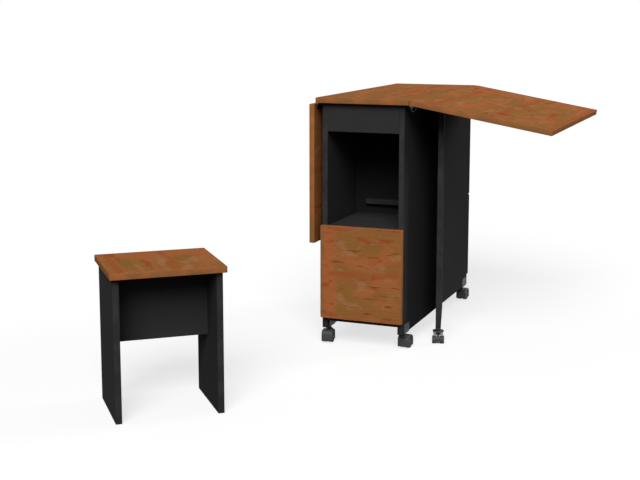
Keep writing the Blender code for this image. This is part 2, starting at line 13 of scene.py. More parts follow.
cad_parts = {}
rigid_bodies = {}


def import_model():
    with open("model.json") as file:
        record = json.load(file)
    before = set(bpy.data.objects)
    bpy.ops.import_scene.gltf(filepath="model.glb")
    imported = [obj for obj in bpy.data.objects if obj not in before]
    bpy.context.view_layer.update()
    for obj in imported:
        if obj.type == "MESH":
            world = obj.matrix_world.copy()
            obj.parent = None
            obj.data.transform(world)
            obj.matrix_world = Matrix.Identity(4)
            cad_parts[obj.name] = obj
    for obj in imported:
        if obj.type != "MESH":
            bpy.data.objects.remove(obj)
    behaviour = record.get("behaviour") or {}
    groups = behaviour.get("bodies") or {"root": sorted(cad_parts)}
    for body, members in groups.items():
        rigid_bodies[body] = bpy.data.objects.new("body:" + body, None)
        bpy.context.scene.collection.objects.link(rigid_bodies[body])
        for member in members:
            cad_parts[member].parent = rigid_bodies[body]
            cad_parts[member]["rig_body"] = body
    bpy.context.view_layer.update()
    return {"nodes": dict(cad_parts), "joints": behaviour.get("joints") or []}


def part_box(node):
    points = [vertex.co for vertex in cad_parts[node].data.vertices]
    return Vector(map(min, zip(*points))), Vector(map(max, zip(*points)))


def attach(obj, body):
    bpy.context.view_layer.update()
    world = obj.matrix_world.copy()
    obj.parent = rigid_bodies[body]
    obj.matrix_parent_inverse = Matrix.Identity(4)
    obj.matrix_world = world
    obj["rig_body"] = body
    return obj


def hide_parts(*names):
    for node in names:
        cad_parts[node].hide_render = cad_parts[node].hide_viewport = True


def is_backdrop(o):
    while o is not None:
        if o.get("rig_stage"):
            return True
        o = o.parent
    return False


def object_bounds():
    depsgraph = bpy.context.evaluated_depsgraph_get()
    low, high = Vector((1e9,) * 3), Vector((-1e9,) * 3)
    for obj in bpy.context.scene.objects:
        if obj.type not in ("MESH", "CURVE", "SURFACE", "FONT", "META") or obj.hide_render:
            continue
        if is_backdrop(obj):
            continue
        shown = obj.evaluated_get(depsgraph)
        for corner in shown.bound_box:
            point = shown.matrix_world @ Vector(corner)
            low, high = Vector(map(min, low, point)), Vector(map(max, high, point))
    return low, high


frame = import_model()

joints = {joint["name"]: joint for joint in frame["joints"]}

# Angles that the CAD gives its turned boards
LEAF_DROOP = math.radians(10.0)
GATE_OPEN = math.radians(15.0)
STOOL_TURN = math.radians(40.6)

# Camera, at the photograph's place
CAMERA_PLACE = (1.1371, -3.2128, 0.9952)
CAMERA_PITCH = math.radians(8.679)
CAMERA_AZIMUTH = math.radians(21.783)
CAMERA_LENS = 66.997
CAMERA_SHIFT_UP = -0.07

# Light: each lamp has the direction it shines from, its strength and its spread in degrees
LAMPS = {"key": ((0.274, -0.962, 0.85), 3.50, 38.0), "right_fill": ((0.70, 0.70, 0.20), 1.63, 20.0),
         "left_fill": ((-0.92, -0.35, 0.17), 0.10, 30.0)}
AMBIENT_LEVEL = 0.23
FLOOR_GLOW = 0.70
FLOOR_REACH = 30.0
FLOOR_SEEN = (0.97, 0.97, 0.97, 1)
FLOOR_LIT = (0.10, 0.10, 0.10, 1)

# Boards: the eased edges, the edging's rim on a face, and the round corners of an outline
EASE = 0.0008
EASE_STEPS = 3
BAND = 0.0010
CORNER = 0.0012
CORNER_STEPS = 3
FLAT_RIM = 0.0002

# Points nearer than this are one, and edges blunter than these angles are smooth
MERGE = 1e-6
BOARD_SMOOTH = math.radians(50)
FITTING_SMOOTH = math.radians(35)

# The boards have next to no gloss, and their edging's streaks differ by this much
MATT_SPECULAR = 0.004
STREAK_SPREAD = 0.22

# Planks printed on the decor
PLANK_WIDTH = 0.142
PLANK_LENGTH = 0.52


def tone(code):
    """The linear colour of an sRGB hex value."""
    srgb = np.array([int(code[at:at + 2], 16) for at in (0, 2, 4)]) / 255
    linear = np.where(srgb <= 0.04045, srgb / 12.92, ((srgb + 0.055) / 1.055) ** 2.4)
    return (*linear, 1.0)


def add(tree, kind, sockets=None, stops=None, **settings):
    """Adds a node with its settings, and links or sets its inputs. stops are a ramp's places and colours."""
    made = tree.nodes.new("ShaderNode" + kind)
    for key, value in settings.items():
        setattr(made, key, value)
    for key, value in (sockets or {}).items():
        if isinstance(value, bpy.types.NodeSocket):
            tree.links.new(value, made.inputs[key])
        else:
            made.inputs[key].default_value = value
    for index, (place, colour) in enumerate(stops or ()):
        elements = made.color_ramp.elements
        stop = elements[index] if index < len(elements) else elements.new(place)
        stop.position, stop.color = place, colour
    return made


def new_material(name):
    """An empty node material with its Principled shader wired to the output."""
    made = bpy.data.materials.new(name)
    made.use_nodes = True
    tree = made.node_tree
    tree.nodes.clear()
    shader = add(tree, "BsdfPrincipled")
    add(tree, "OutputMaterial", {0: shader.outputs[0]})
    return made, tree, shader


def feed(tree, shader, colour=None, roughness=None, normal=None, **fixed):
    """Links a shader's patterns and sets its plain values."""
    for key, socket in (("Base Color", colour), ("Roughness", roughness), ("Normal", normal)):
        if socket is not None:
            tree.links.new(socket, shader.inputs[key])
    for key, value in fixed.items():
        shader.inputs[key.replace("_", " ")].default_value = value


# ---------------------------------------------------------------- materials

def grain_sheet(name, plain, olive, orange, red, ember, pale, fleck, sheen):
    """Melamine-faced board printed with an alder decor, its grain along the map's first axis.

    Printed paper under a pressed satin film: book-matched planks with warm ends and reddish
    edges, olive and pale patches, broken cathedral arcs, red streaks, pores and soft knots.
    """
    made, tree, shader = new_material(name)
    place = add(tree, "UVMap", uv_map="grain").outputs[0]
    split = add(tree, "SeparateXYZ", {0: place})
    along, across = split.outputs[0], split.outputs[1]

    def stretched(scale_along, scale_across, detail, rough=0.5, shift=0.0):
        """Noise whose spots are 1/scale metres long and wide."""
        mapped = add(tree, "Mapping", {0: place, 1: (shift, shift, shift), 3: (scale_along, scale_across, 1)})
        return add(tree, "TexNoise", {"Vector": mapped.outputs[0], "Scale": 1.0, "Detail": detail,
                                      "Roughness": rough}).outputs[0]

    def maths(operation, first, second=0.0, third=0.0):
        """One step of arithmetic."""
        return add(tree, "Math", {0: first, 1: second, 2: third}, operation=operation).outputs[0]

    def rise(value, low, high, top=1.0):
        """A smooth step from 0 at low to top at high."""
        return add(tree, "MapRange", {0: value, 1: low, 2: high, 3: 0.0, 4: top},
                   interpolation_type="SMOOTHSTEP").outputs[0]

    def wandering(value, noise, swing):
        """A place on the map that noise moves by up to half of swing either way."""
        return maths("ADD", value, maths("MULTIPLY_ADD", noise, swing, -swing / 2))

    def laid(base, share, code):
        """A colour printed over the base where share is high."""
        return add(tree, "Mix", {0: share, 6: base, 7: tone(code)}, data_type="RGBA").outputs[2]

    # Distances to a plank's nearest long edge and nearest end, which are both a little crooked
    edge = maths("PINGPONG", wandering(across, stretched(11.0, 9.0, 3.0, 0.6, 27.0), 0.040), PLANK_WIDTH / 2)
    end = maths("PINGPONG", wandering(along, stretched(9.0, 14.0, 1.0), 0.030), PLANK_LENGTH / 2)
    # Rings are level lines of the distance to a plank's wandering heart
    heart = wandering(maths("SUBTRACT", PLANK_WIDTH / 2, edge), stretched(3.0, 7.0, 2.0), 0.060)
    depth = maths("MULTIPLY_ADD", stretched(5.0, 2.0, 1.0, shift=9.0), 0.090, -0.015)
    reach = maths("SQRT", maths("ADD", maths("MULTIPLY", heart, heart), maths("MULTIPLY", depth, depth)))
    rings = add(tree, "TexNoise", {"W": maths("MULTIPLY", reach, 170.0), "Scale": 1.0, "Detail": 2.0,
                                   "Roughness": 0.6}, noise_dimensions="1D").outputs[0]
    # Olive patches are about 90 by 50 mm, and warm ones 140 by 80 mm or at a plank's end
    base = laid(tone(plain), rise(stretched(11.0, 19.0, 2.0, 0.5, 3.0), 0.45, 0.57), olive)
    warm_end = maths("MULTIPLY", rise(end, 0.006, 0.014), rise(end, 0.058, 0.040))
    warm = maths("MAXIMUM", rise(stretched(7.0, 13.0, 2.0, 0.55, 6.0), 0.50, 0.61, 0.85), warm_end)
    base = laid(base, warm, orange)
    # Pale patches are about 70 by 40 mm, and pale arcs follow the rings here and there
    base = laid(base, rise(stretched(15.0, 24.0, 2.0, 0.5, 12.0), 0.54, 0.68, 0.80), pale)
    arcs = maths("MULTIPLY", rise(rings, 0.50, 0.66, 0.55),
                 rise(stretched(7.0, 14.0, 1.0, 0.5, 15.0), 0.40, 0.60))
    base = laid(base, arcs, pale)
    # Red bands run along parts of the planks' edges
    bands = maths("MULTIPLY", rise(edge, 0.014, 0.003, 0.75),
                  rise(stretched(9.0, 14.0, 2.0, 0.5, 18.0), 0.38, 0.50))
    base = laid(base, bands, red)
    # Flames are 30 to 50 mm long and about 12 mm wide, and gathered in places
    flames = maths("MULTIPLY", rise(stretched(14.0, 34.0, 2.0, 0.55, 36.0), 0.58, 0.66, 0.85),
                   rise(stretched(5.0, 8.0, 1.0, 0.5, 39.0), 0.44, 0.54))
    base = laid(base, flames, ember)
    # Streaks are 30 to 60 mm long and gathered in places
    gathered = rise(stretched(4.0, 7.0, 1.0, 0.5, 21.0), 0.50, 0.60)
    streaks = maths("MULTIPLY", rise(stretched(17.0, 105.0, 2.0, 0.5, 24.0), 0.62, 0.69, 0.72), gathered)
    base = laid(base, streaks, fleck)
    # Knots are soft, 10 to 15 mm long, about one to a hand's breadth
    spots = add(tree, "Mapping", {0: place, 3: (9.0, 17.0, 1)}).outputs[0]
    cells = add(tree, "TexVoronoi", {"Vector": spots, "Scale": 1.0, "Randomness": 1.0})
    chosen = maths("GREATER_THAN", add(tree, "SeparateXYZ", {0: cells.outputs["Color"]}).outputs[0], 0.72)
    base = laid(base, maths("MULTIPLY", rise(cells.outputs["Distance"], 0.11, 0.03, 0.62), chosen), fleck)
    # Pores are 0.2 mm wide on the real print and 1.2 mm here, so that a pixel still shows them
    pores = add(tree, "MapRange", {0: stretched(60.0, 800.0, 2.0), 1: 0.30, 2: 0.70, 3: 0.90,
                                   4: 1.10}).outputs[0]
    lines = add(tree, "MapRange", {0: stretched(9.0, 190.0, 3.0, 0.6, 5.0), 1: 0.3, 2: 0.7, 3: 0.93,
                                   4: 1.07}).outputs[0]
    base = add(tree, "Mix", {0: 1.0, 6: base, 7: maths("MULTIPLY", pores, lines)}, data_type="RGBA",
               blend_type="MULTIPLY").outputs[2]
    # The film over the print has a press grain about 1 mm across
    film = add(tree, "TexNoise", {"Vector": place, "Scale": 900.0, "Detail": 1.0}).outputs[0]
    rough = add(tree, "MapRange", {0: film, 3: sheen - 0.05, 4: sheen + 0.05}).outputs[0]
    relief = add(tree, "Bump", {"Strength": 0.10, "Distance": 0.0002,
                                "Height": maths("ADD", film, pores)}).outputs[0]
    feed(tree, shader, base, rough, relief, IOR=1.5, Specular_IOR_Level=MATT_SPECULAR)
    return made


def edge_band(name, plain, dark, warm, sheen):
    """ABS edging 1 mm thick, glued on and planed: fine streaks along the band and slow warm patches."""
    made, tree, shader = new_material(name)
    place = add(tree, "UVMap", uv_map="grain").outputs[0]
    mapped = add(tree, "Mapping", {0: place, 3: (14.0, 420.0, 1)}).outputs[0]
    streaks = add(tree, "TexNoise", {"Vector": mapped, "Scale": 1.0, "Detail": 3.0,
                                     "Roughness": 0.6}).outputs[0]
    broad = add(tree, "TexNoise", {"Vector": place, "Scale": 22.0, "Detail": 1.0}).outputs[0]
    mixed = add(tree, "Math", {0: streaks, 1: 0.6, 2: 0.0}, operation="MULTIPLY_ADD").outputs[0]
    mixed = add(tree, "Math", {0: broad, 1: 0.4, 2: mixed}, operation="MULTIPLY_ADD").outputs[0]
    shade = add(tree, "MapRange", {0: mixed, 1: 0.5 - STREAK_SPREAD, 2: 0.5 + STREAK_SPREAD}).outputs[0]
    colour = add(tree, "Mix", {0: shade, 6: tone(dark), 7: tone(plain)}, data_type="RGBA").outputs[2]
    patches = add(tree, "MapRange", {0: broad, 1: 0.45, 2: 0.62, 3: 0.0, 4: 0.85}).outputs[0]
    colour = add(tree, "Mix", {0: patches, 6: colour, 7: tone(warm)}, data_type="RGBA").outputs[2]
    rough = add(tree, "MapRange", {0: broad, 3: sheen - 0.04, 4: sheen + 0.04}).outputs[0]
    relief = add(tree, "Bump", {"Strength": 0.08, "Distance": 0.0001, "Height": streaks}).outputs[0]
    feed(tree, shader, colour, rough, relief, IOR=1.5, Specular_IOR_Level=MATT_SPECULAR)
    return made


def grained_surface(name, plain, worn, grain_mm, depth_mm, sheen, level, metal=0.0):
    """A surface with an even fine grain: pressed pearl melamine, moulded nylon or plated steel.

    Grain cells lighten a little on their crowns, and slow clouds stand for handling.
    """
    made, tree, shader = new_material(name)
    place = add(tree, "TexCoord").outputs["Object"]
    scale = 1000.0 / grain_mm
    grain = add(tree, "TexVoronoi", {"Vector": place, "Scale": scale / 2, "Randomness": 1.0},
                feature="SMOOTH_F1").outputs["Distance"]
    fine = add(tree, "TexNoise", {"Vector": place, "Scale": scale, "Detail": 2.0}).outputs[0]
    clouds = add(tree, "TexNoise", {"Vector": place, "Scale": 7.0, "Detail": 3.0,
                                    "Roughness": 0.6}).outputs[0]
    soft = add(tree, "MapRange", {0: clouds, 1: 0.35, 2: 0.70, 3: 0.0, 4: 0.5}).outputs[0]
    crown = add(tree, "Math", {0: fine, 1: 0.35, 2: soft}, operation="MULTIPLY_ADD").outputs[0]
    colour = add(tree, "Mix", {0: crown, 6: tone(plain), 7: tone(worn)}, data_type="RGBA").outputs[2]
    rough = add(tree, "MapRange", {0: fine, 3: sheen - 0.06, 4: sheen + 0.06}).outputs[0]
    relief = add(tree, "Bump", {"Strength": 0.25, "Distance": depth_mm / 1000, "Height": grain}).outputs[0]
    # A metal keeps the shader's own index and specular level
    plastic = {} if metal else {"IOR": 1.5, "Specular_IOR_Level": level}
    feed(tree, shader, colour, rough, relief, Metallic=metal, **plastic)
    return made


# Alder decor on the tops, doors and seat: warm orange-brown with olive and reddish patches
ALDER_FACE = grain_sheet("alder_decor_melamine", plain="87582F", olive="81592C", orange="985932",
                         red="924A2A", ember="884623", pale="946543", fleck="6E3216", sheen=0.80)
# The same decor on 1 mm edging
ALDER_BAND = edge_band("alder_decor_abs_edging", "8F5E37", "7C5430", "9A5C34", 0.80)
# Brown-black edging on the rear doors, which is painted shade: it darkens their edges as the shadow beside
# the gate would
SHADE_DARKENED_BAND = edge_band("brown_black_edging_painted_shade", "35302A", "2B2723", "3A342D", 0.80)
# The even surfaces: colours in hollows and on crowns, grain and relief in mm, roughness and gloss
# Pressed melamine with a pearl grain 0.6 mm across, drawn at 1.5 mm so that it shows
BLACK_FACE = grained_surface("black_pearl_melamine", "2D2D2E", "323233", 1.5, 0.05, 0.80, MATT_SPECULAR)
# Board at the back of the niche, quite matt, made darker as painted shade for the recess
NICHE_SHADE_BLACK = grained_surface("matt_black_niche_painted_shade", "1C1C1D", "202021", 1.2, 0.04, 0.85, MATT_SPECULAR)
# Black edging on the same boards, planed flush
BLACK_BAND = edge_band("black_abs_edging", "303031", "2A2A2B", "343435", 0.76)
# Moulded nylon hoods: an even dark grey with a fine spark-eroded grain
NYLON = grained_surface("grey_moulded_nylon", "373737", "3F3F3F", 1.0, 0.04, 0.50, 0.20)
# Moulded wheels with a slightly softer, paler tread
TREAD = grained_surface("grey_moulded_wheel", "3D3D3E", "464647", 1.2, 0.05, 0.60, 0.15)
# Zinc-plated pressed steel, dulled by handling
PLATED = grained_surface("dull_zinc_plated_steel", "626162", "706F70", 0.9, 0.02, 0.42, 0.0, metal=1.0)
# Fresh zinc plate, a good deal brighter
ZINC = grained_surface("bright_zinc_plated_steel", "9A9A9B", "A6A6A7", 0.9, 0.02, 0.42, 0.0, metal=1.0)
# The same steel in a darker passivation, on the casters' brackets
BRACKET = grained_surface("dark_passivated_steel", "323132", "3B3A3B", 0.9, 0.02, 0.50, 0.0, metal=1.0)
# Screws with a blackened finish
DARK_SCREW = grained_surface("blackened_screw_steel", "242424", "303030", 0.6, 0.02, 0.45, 0.0, metal=1.0)
# Pressed steel with black lacquer
LACQUERED = grained_surface("black_lacquered_steel", "2B2B2C", "333334", 0.9, 0.02, 0.45, 0.06)


# ---------------------------------------------------------------- meshes

def object_of(name, mesh, materials):
    """An object at the origin on a finished mesh, with its materials."""
    made = bpy.data.objects.new(name, mesh)
    bpy.context.scene.collection.objects.link(made)
    for look in materials:
        mesh.materials.append(look)
    return made


def joined_grid(rows, columns):
    """Quads between the points of neighbouring rows, each row a closed loop, as an array of indices."""
    row, column = np.meshgrid(np.arange(rows - 1), np.arange(columns), indexing="ij")
    next_column = (column + 1) % columns
    quads = np.stack([row * columns + column, row * columns + next_column,
                      (row + 1) * columns + next_column, (row + 1) * columns + column], -1)
    return quads.reshape(-1, 4)


def mesh_of(name, points, faces, smooth_below):
    """A mesh with its seams merged, its faces turned outwards and its edges smooth below an angle."""
    mesh = bpy.data.meshes.new(name)
    mesh.from_pydata(np.asarray(points).reshape(-1, 3).tolist(), [], [list(map(int, f)) for f in faces])
    shape = bmesh.new()
    shape.from_mesh(mesh)
    bmesh.ops.remove_doubles(shape, verts=shape.verts, dist=MERGE)
    bmesh.ops.recalc_face_normals(shape, faces=shape.faces)
    shape.to_mesh(mesh)
    shape.free()
    mesh.shade_smooth()
    mesh.set_sharp_from_angle(angle=smooth_below)
    return mesh


def own_frame(node, turn):
    """The lowest and highest corner of a CAD node along its own axes, the columns of turn."""
    mesh = frame["nodes"][node].data
    points = np.zeros(len(mesh.vertices) * 3)
    mesh.vertices.foreach_get("co", points)
    local = points.reshape(-1, 3) @ np.array(turn)
    return local.min(0), local.max(0)


def board_points(low, high):
    """A board's rings: its rounded edge profile carried round its outline.

    The outline is a rectangle with quarter-circle corners, as a centre and a direction for
    each point. The profile is a list of insets from the outline and heights: the rim of one
    face, a quarter circle of the ease, the edge, a quarter circle and the rim of the other face.
    """
    size = (high - low)[:2]
    corner_turn = np.linspace(0, math.pi / 2, CORNER_STEPS + 1)
    quarter = np.arange(4) * math.pi / 2
    angle = (quarter[:, None] + corner_turn).ravel()
    signs = np.array([(1, 1), (-1, 1), (-1, -1), (1, -1)])
    centres = np.repeat(signs * (size / 2 - CORNER), CORNER_STEPS + 1, axis=0)
    outward = np.stack([np.cos(angle), np.sin(angle)], -1)
    ease_turn = np.linspace(0, math.pi / 2, EASE_STEPS + 1)
    inset = EASE * (1 - np.sin(ease_turn))
    rise = EASE * (1 - np.cos(ease_turn))
    rim = np.array([EASE + BAND, EASE + FLAT_RIM])
    inset = np.concatenate([rim, inset, inset[::-1], rim[::-1]])
    thick = high[2] - low[2]
    height = np.concatenate([[0, 0], rise, (thick - rise)[::-1], [thick, thick]])
    # An inset beyond the corner's radius would turn the corner inside out, so the centres move in too
    over = np.maximum(inset - CORNER, 0)
    flat = (centres[None] - np.repeat(signs, CORNER_STEPS + 1, axis=0) * over[:, None, None]
            + outward[None] * (CORNER - np.minimum(inset, CORNER))[:, None, None])
    points = np.concatenate([flat, np.broadcast_to(height[:, None, None], flat.shape[:2] + (1,))], -1)
    return points + np.append(low[:2] + size / 2, low[2])


def grain_map(mesh, grain_axis, shift, fineness):
    """A UV map in metres: along and across the grain on the faces, along and up the band on the edges.

    It starts at shift in the face's lowest corner, and runs along and across the grain at fineness times
    the true distance, so that low values broaden the figure and negative ones turn it end for end.
    """
    corners = len(mesh.loops)
    vertex = np.zeros(corners, int)
    mesh.loops.foreach_get("vertex_index", vertex)
    points = np.zeros(len(mesh.vertices) * 3)
    mesh.vertices.foreach_get("co", points)
    normals = np.zeros(len(mesh.polygons) * 3)
    mesh.polygons.foreach_get("normal", normals)
    totals = np.zeros(len(mesh.polygons), int)
    mesh.polygons.foreach_get("loop_total", totals)
    at = points.reshape(-1, 3)[vertex]
    normal = np.abs(np.repeat(normals.reshape(-1, 3), totals, axis=0))
    cross_axis = 1 - grain_axis
    start = points.reshape(-1, 3).min(0)
    facing = np.argmax(normal, axis=1)
    along = np.where(facing == 2, fineness[0] * (at - start)[:, grain_axis], at[:, 1] * (facing == 0)
                     + at[:, 0] * (facing == 1))
    across = np.where(facing == 2, fineness[1] * (at - start)[:, cross_axis], at[:, 2])
    made = mesh.uv_layers.new(name="grain")
    made.data.foreach_set("uv", np.stack([along + shift[0], across + shift[1]], -1).ravel())


def dressed_board(node, body, looks, turn=Matrix.Identity(3), grain_axis=0, shift=(0, 0), fineness=(1, 1)):
    """Stands for a CAD board: faces in the decor, and a 1 mm band with eased corners round the edge."""
    low, high = own_frame(node, turn)
    thin = int(np.argmin(high - low))
    axes = [axis for axis in range(3) if axis != thin] + [thin]
    if np.linalg.det(np.eye(3)[:, axes]) < 0:
        axes[0], axes[1] = axes[1], axes[0]
    rings = board_points(low[axes], high[axes])
    rows, columns = rings.shape[:2]
    faces = joined_grid(rows, columns).tolist()
    faces += [list(range(columns)), list(range((rows - 1) * columns, rows * columns))]
    mesh = mesh_of(node + "_board", rings, faces, BOARD_SMOOTH)
    grain_map(mesh, axes.index(grain_axis), shift, fineness)
    # Every face but the last two, the board's own faces, wears the edging
    band = np.ones(len(mesh.polygons), int)
    band[-2:] = 0
    mesh.polygons.foreach_set("material_index", band)
    back = np.zeros((3, 3))
    back[axes, range(3)] = 1
    mesh.transform(Matrix(np.array(turn) @ back).to_4x4())
    made = object_of(node + "_board", mesh, looks)
    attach(made, body)
    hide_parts(node)


# ---------------------------------------------------------------- boards

droop = Matrix.Rotation(LEAF_DROOP, 3, "Y")
stool_turn = Matrix.Rotation(STOOL_TURN, 3, "Z")
gate_turn = Matrix.Rotation(GATE_OPEN, 3, "Z")
straight = Matrix.Identity(3)
wood = (ALDER_FACE, ALDER_BAND)
shade_edged = (ALDER_FACE, SHADE_DARKENED_BAND)
black = (BLACK_FACE, BLACK_BAND)
# The print runs along the table on its tops, and is broader there
broad = (0.70, 0.80)
dressed_board("top_strip", "cabinet", wood, grain_axis=1, shift=(3.74, 1.27), fineness=broad)
dressed_board("leaf_right", "leaf_right", wood, droop, grain_axis=1, shift=(9.93, 1.23), fineness=broad)
dressed_board("leaf_left", "leaf_left", wood, grain_axis=1, shift=(3.10, 0.25), fineness=broad)
dressed_board("front_door", "front_door", wood, shift=(8 * PLANK_LENGTH, -PLANK_WIDTH))
# The rear doors' dark edging is painted shade
dressed_board("rear_lower_door", "rear_lower_door", shade_edged, shift=(5.25, 0.52))
dressed_board("rear_upper_door", "rear_upper_door", shade_edged, shift=(6.50, 0.71))
dressed_board("stool_seat", "stool", wood, stool_turn, grain_axis=1, shift=(10.77, 2.53),
              fineness=(0.60, 1.0))
# The niche's back is darkened as painted shade
dressed_board("niche_back", "cabinet", (NICHE_SHADE_BLACK, BLACK_BAND))
for body, turn, names in (
        ("cabinet", straight, ("side_panel_left", "side_panel_right", "bottom_board", "middle_shelf",
                               "top_rail_front", "top_rail_rear", "niche_batten", "gate_left")),
        ("gate_right", gate_turn, ("gate_right",)),
        ("leaf_left", straight, ("leaf_left_stop_block",)),
        ("leaf_right", droop, ("leaf_right_stop_block",)),
        ("stool", stool_turn, ("stool_panel_left", "stool_panel_right", "stool_stretcher"))):
    for node in names:
        low, high = own_frame(node, turn)
        dressed_board(node, body, black, turn, int(np.argmax(high - low)))

# ---------------------------------------------------------------- shapes for the ironmongery

def turned(profile, sides):
    """Points and faces of a turned shape: each (radius, height) of the profile carried round the axis."""
    radius, height = np.array(profile).T
    angle = np.arange(sides) * 2 * math.pi / sides
    points = np.stack([radius[:, None] * np.cos(angle), radius[:, None] * np.sin(angle),
                       np.broadcast_to(height[:, None], (len(radius), sides))], -1)
    return points.reshape(-1, 3), joined_grid(len(radius), sides)


def corner_of(centre, radius, first, last, steps=4):
    """Points of an arc in a profile's plane, between two angles in degrees."""
    angle = np.radians(np.linspace(first, last, steps + 1))
    return [(centre[0] + radius * c, centre[1] + radius * s) for c, s in zip(np.cos(angle), np.sin(angle))]


def piece(name, body, parts, place, look, node=None):
    """One object of several closed shapes, each (points, faces), set in place by a matrix.

    It rides on a body, and stands for a CAD node where one is named.
    """
    points, faces, count = [], [], 0
    for own_points, own_faces in parts:
        points.append(np.asarray(own_points).reshape(-1, 3))
        faces += [[int(index) + count for index in face] for face in own_faces]
        count += len(points[-1])
    mesh = mesh_of(name, np.concatenate(points), faces, FITTING_SMOOTH)
    mesh.transform(place)
    made = object_of(name, mesh, [look])
    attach(made, body)
    if node:
        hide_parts(node)


def place_of(origin, first, third):
    """The matrix that puts a shape's X and Z axes along two directions, at an origin."""
    first, third = Vector(first).normalized(), Vector(third).normalized()
    turn = Matrix((first, third.cross(first), third)).transposed().to_4x4()
    return Matrix.Translation(origin) @ turn


# ---------------------------------------------------------------- casters

AXLE = 0.0025
BOSS = AXLE * 2.2
BOSS_RISE = 0.0006
WHEEL_GAP = 0.004
WHEEL_WIDTH = 0.0120
GATE_WHEEL_WIDTH = 0.0142
WHEEL_SIDES = 60
WHEEL_EDGE = 0.0018
WHEEL_DISH = 0.0020
RIM_SHARE = 0.82
HUB_SHARE = 0.34
POCKETS = 5
POCKET_DEPTH = 0.0012
POCKET_SLOPE = 0.0006
COLLAR_TOP = 0.0479
HOOD_WALL = 0.0015
HOOD_HALF_LENGTH = 0.0214
HOOD_RISE = 0.0217
HOOD_HALF_WIDTH = 0.0172
HOOD_SHOULDER = 0.0028
HOOD_SQUARENESS = 3.1
HOOD_LIP_HEIGHT = 0.0058
HOOD_STEPS = 40
HOOD_POINTS_ACROSS = 17
HOOD_TUCK = 0.001
WEB_HALF = 0.0036
PLATE_BEVEL = 0.0004
GATE_WEB_INSET = 0.0006
GATE_WEB_SIDES = 40
BRIDGE_REACH = 0.0135
BRIDGE_CORNER = 0.0015
BRIDGE_MIDDLE = 0.0292
BRIDGE_RISE = 0.0037
BRIDGE_HALF = 0.0010

# Profiles of the turned parts as (radius, height), from the axis out and back to it
GATE_CAP = [(0.0, 0.0352), *corner_of((0.0160, 0.0364), 0.0012, -90, 0),
            *corner_of((0.0156, 0.0380), 0.0016, 0, 80), (0.0100, 0.0400), (0.0072, 0.0412),
            *corner_of((0.0050, 0.0469), 0.0010, 0, 90, 3), (0.0, COLLAR_TOP)]
GATE_POST = [(0.0, 0.0258), (0.0060, 0.0258), (0.0066, 0.0264), (0.0066, 0.0344), (0.0072, 0.0358),
             (0.0, 0.0360)]
GATE_SPINE = [(0.0, 0.0140), (0.0029, 0.0140), (0.0029, 0.0290), (0.0, 0.0290)]
COLLAR = [(0.0, 0.0370), (0.0112, 0.0370), (0.0110, 0.0396), (0.0086, 0.0404), (0.0070, 0.0424),
          (0.0066, 0.0450), *corner_of((0.0052, 0.0467), 0.0012, 0, 90, 3), (0.0, COLLAR_TOP)]
STEM = [(0.0, 0.0470), (0.0040, 0.0470), (0.0040, 0.0560), (0.0, 0.0560)]


def squared_arc(half_length, rise, lip):
    """A hood's side outline from lip to lip, with its outward directions.

    The outline is |y/a|^n + |z/b|^n = 1 above the lip, n being the squareness.
    """
    low_angle = math.asin((-lip / rise) ** (HOOD_SQUARENESS / 2))
    angle = np.linspace(-low_angle, math.pi + low_angle, HOOD_STEPS + 1)
    power = 2 / HOOD_SQUARENESS
    y = half_length * np.sign(np.cos(angle)) * np.abs(np.cos(angle)) ** power
    z = rise * np.sign(np.sin(angle)) * np.abs(np.sin(angle)) ** power
    run, climb = np.gradient(y), np.gradient(z)
    size = np.hypot(run, climb)
    return np.stack([y, z], -1), np.stack([climb / size, -run / size], -1)


def hood_shell(axle_height):
    """A hood over both wheels: a thin crowned strip with rounded shoulders carried along the squared outline.

    Across the strip the surface drops by s - sqrt(s^2 - e^2), where e is how far x runs into the shoulder s.
    """
    line, out = squared_arc(HOOD_HALF_LENGTH, HOOD_RISE, HOOD_LIP_HEIGHT - axle_height)
    across = HOOD_HALF_WIDTH * np.sin(np.linspace(-math.pi / 2, math.pi / 2, HOOD_POINTS_ACROSS))
    into = np.maximum(np.abs(across) - (HOOD_HALF_WIDTH - HOOD_SHOULDER), 0)
    drop = HOOD_SHOULDER - np.sqrt(np.maximum(HOOD_SHOULDER ** 2 - into ** 2, 0))
    inner = across * (HOOD_HALF_WIDTH - HOOD_WALL) / HOOD_HALF_WIDTH
    x = np.concatenate([across, inner[::-1]])
    inward = np.concatenate([drop, np.maximum(drop, HOOD_WALL)[::-1]])
    flat = line[:, None] - out[:, None] * inward[None, :, None]
    points = np.concatenate([np.broadcast_to(x[None, :, None], flat.shape[:2] + (1,)), flat], -1)
    rows, columns = points.shape[:2]
    faces = joined_grid(rows, columns).tolist()
    half = len(across)
    for first in (0, (rows - 1) * columns):
        faces += [[first + k, first + k + 1, first + columns - 2 - k, first + columns - 1 - k]
                  for k in range(half - 1)]
    return points.reshape(-1, 3), faces


def web_plate(outline, half_thickness):
    """A flat plate across X with bevelled edges, its outline a closed loop of (y, z)."""
    outline = np.asarray(outline)
    middle = outline.mean(0)
    shrink = 1 - PLATE_BEVEL / np.linalg.norm(outline - middle, axis=1)[:, None]
    inside = middle + (outline - middle) * shrink
    rings = [(inside, -half_thickness), (outline, PLATE_BEVEL - half_thickness),
             (outline, half_thickness - PLATE_BEVEL), (inside, half_thickness)]
    points = np.stack([np.concatenate([np.full((len(loop), 1), x), loop], 1) for loop, x in rings])
    faces = joined_grid(4, len(outline)).tolist()
    faces += [list(range(len(outline))), list(range(3 * len(outline), 4 * len(outline)))]
    return points.reshape(-1, 3), faces


